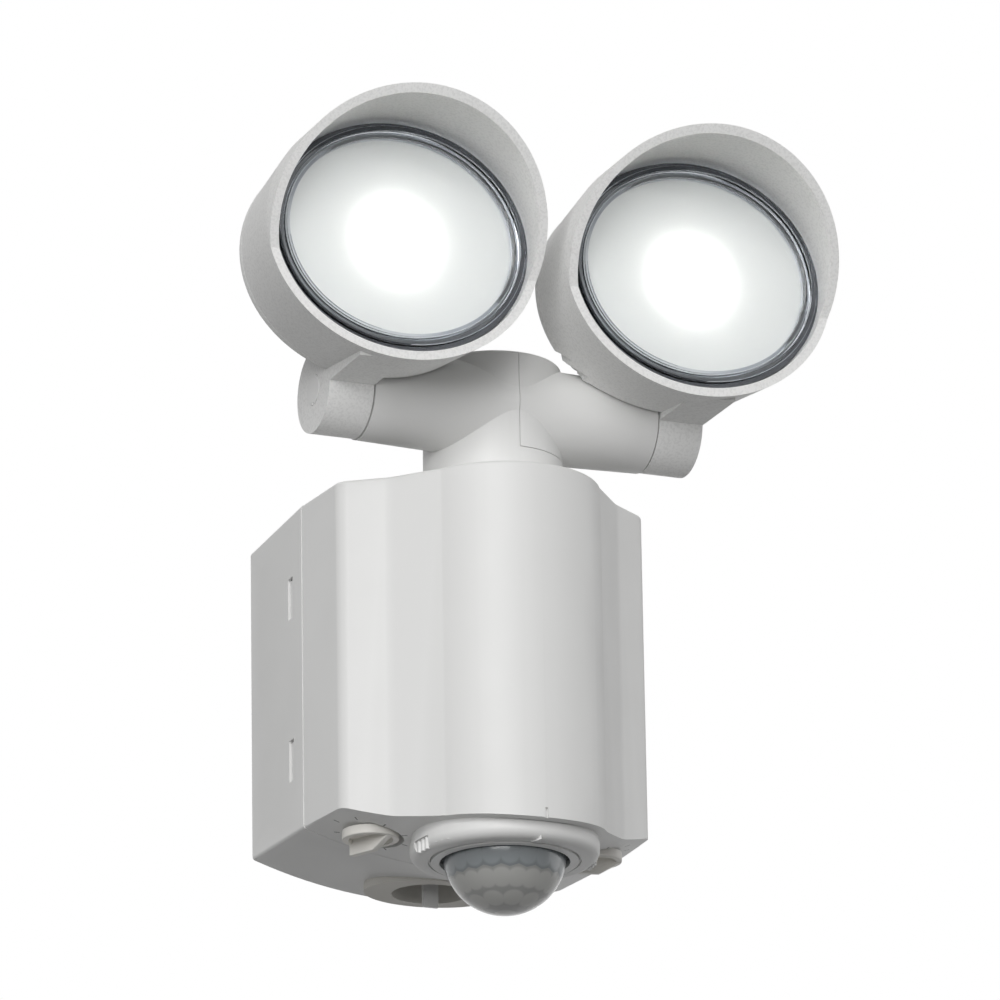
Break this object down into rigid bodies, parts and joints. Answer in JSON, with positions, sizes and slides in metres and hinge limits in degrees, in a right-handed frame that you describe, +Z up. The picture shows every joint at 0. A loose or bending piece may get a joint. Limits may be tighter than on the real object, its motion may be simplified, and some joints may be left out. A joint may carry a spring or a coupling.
{
  "type": "motion sensor security light",
  "caption": "Wall light with a moulded housing, a swivelling motion sensor under it and oval lamp heads that tilt on a turning neck.",
  "frame": {"origin": "middle of the housing's wall face", "axes": "+Y into the wall, -Y towards the light's front, +Z up, +X to the right of someone who looks at the light"},
  "size_m": [0.185, 0.1435, 0.235],
  "materials": {
    "shell": "white moulded plastic, satin gloss",
    "knob": "cream-grey moulded plastic",
    "rubber": "black rubber",
    "bush": "grey rubber",
    "steel": "zinc plated",
    "brass": "plain brass",
    "terminal": "ivory moulded plastic",
    "board": "glass-fibre board with green resist",
    "board_white": "board with white resist",
    "iron": "varnished laminated core",
    "can": "sleeved can",
    "relay": "moulded case",
    "plate": "plain rolled sheet",
    "emitter": "phosphor coated, milky",
    "reflector": "white, glossy",
    "lens": "clear, polished",
    "dome": "milky translucent"
  },
  "bodies": {
    "housing": {"rear_box": "shell", "cover_gasket": "rubber", "front_cover": "shell", "cable_bush": "bush", "cable_clamp": "shell", "clamp_screws": "steel", "terminal_block": "terminal", "terminal_screws": "brass", "driver_board": "board", "driver_screws": "steel", "transformer": "iron", "capacitor": "can", "relay": "relay", "control_board": "board", "time_potentiometer": "relay", "light_potentiometer": "relay"},
    "sensor": {"sensor_bezel": "shell", "sensor_lens_ring": "shell", "sensor_dome": "dome", "sensor_retainer": "shell", "sensor_board": "board", "infrared_detector": "steel"},
    "time_dial": {"time_knob": "knob"},
    "light_dial": {"light_knob": "knob"},
    "neck": {"neck_left": "shell", "neck_right": "shell", "neck_screws": "steel", "neck_seal": "rubber", "neck_clamp_ring": "shell", "left_pivot_washer": "rubber", "left_pivot_bolt": "steel", "left_pivot_nut": "steel", "right_pivot_washer": "rubber", "right_pivot_bolt": "steel", "right_pivot_nut": "steel"},
    "left_head": {"left_hood": "shell", "left_back_cover": "shell", "left_back_screws": "steel", "left_lamp_plate": "plate", "left_led_board": "board_white", "left_led_emitter": "emitter", "left_reflector": "reflector", "left_clear_lens": "lens", "left_lens_seal": "rubber", "left_pivot_plug": "shell"},
    "right_head": {"right_hood": "shell", "right_back_cover": "shell", "right_back_screws": "steel", "right_lamp_plate": "plate", "right_led_board": "board_white", "right_led_emitter": "emitter", "right_reflector": "reflector", "right_clear_lens": "lens", "right_lens_seal": "rubber", "right_pivot_plug": "shell"}
  },
  "joints": [
    {"name": "neck_turn", "type": "hinge", "parent": "housing", "child": "neck", "pos_m": [0, -0.0712, 0.05125], "axis": [0, 0, 1], "range_deg": [-45, 45]},
    {"name": "left_head_tilt", "type": "hinge", "parent": "neck", "child": "left_head", "pos_m": [-0.0483, -0.0781, 0.07605], "axis": [1, 0, 0], "range_deg": [-50, 30]},
    {"name": "right_head_tilt", "type": "hinge", "parent": "neck", "child": "right_head", "pos_m": [0.0483, -0.0781, 0.07605], "axis": [1, 0, 0], "range_deg": [-50, 30]},
    {"name": "sensor_swivel", "type": "hinge", "parent": "housing", "child": "sensor", "pos_m": [0, -0.0755, -0.06], "axis": [0, 0, 1], "range_deg": [-60, 60]},
    {"name": "time_knob_turn", "type": "hinge", "parent": "housing", "child": "time_dial", "pos_m": [-0.0364, -0.0588, -0.0544], "axis": [0, 0, 1], "range_deg": [-135, 135]},
    {"name": "light_knob_turn", "type": "hinge", "parent": "housing", "child": "light_dial", "pos_m": [0.0364, -0.0588, -0.0544], "axis": [0, 0, 1], "range_deg": [-135, 135]}
  ]
}
